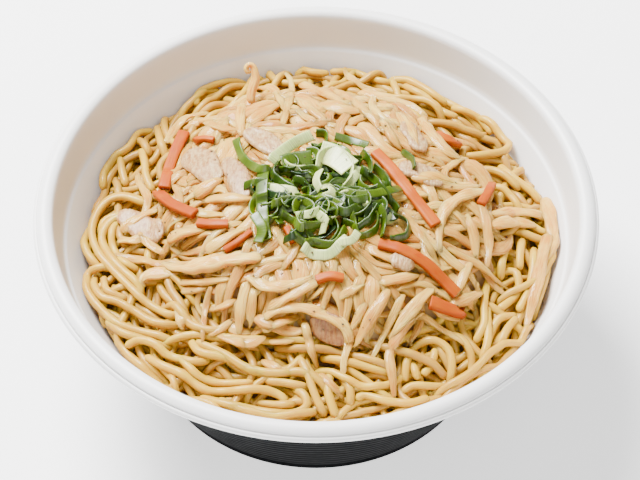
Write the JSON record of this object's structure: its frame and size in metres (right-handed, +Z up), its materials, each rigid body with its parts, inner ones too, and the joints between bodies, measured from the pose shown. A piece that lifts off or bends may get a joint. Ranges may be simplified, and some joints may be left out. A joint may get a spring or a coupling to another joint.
{
  "type": "yakisoba",
  "caption": "Takeaway foam bowl of stir-fried wheat noodles under a heap of bean sprouts, pork and carrot strips, with a spring onion garnish.",
  "frame": {"origin": "middle of the bowl's foot, on the surface that the bowl stands on", "axes": "+Z up through the middle of the round bowl, +X to the right and +Y away from the picture's viewer"},
  "size_m": [0.19, 0.19, 0.0787],
  "materials": {
    "foam": "satin white foam",
    "black_film": "ribbed black film with a soft gloss",
    "noodle": "moist, slightly oily wheat noodle",
    "sprout": "moist, translucent bean sprout",
    "spring_onion": "fresh, slightly wet leaf",
    "onion_white": "pale wet stem of spring onion",
    "carrot": "moist cooked carrot",
    "pork": "cooked pork, slightly oily",
    "pepper": "coarse ground pepper"
  },
  "bodies": {
    "root": {"bowl": "foam", "noodles": "noodle", "sprouts": "sprout", "spring_onion": "spring_onion", "carrot_1": "carrot", "carrot_2": "carrot", "carrot_3": "carrot", "carrot_4": "carrot", "carrot_5": "carrot", "carrot_6": "carrot", "carrot_7": "carrot", "carrot_8": "carrot", "pork_1": "pork", "pork_2": "pork", "pork_3": "pork", "pork_4": "pork", "pork_5": "pork", "pork_6": "pork"}
  },
  "joints": []
}
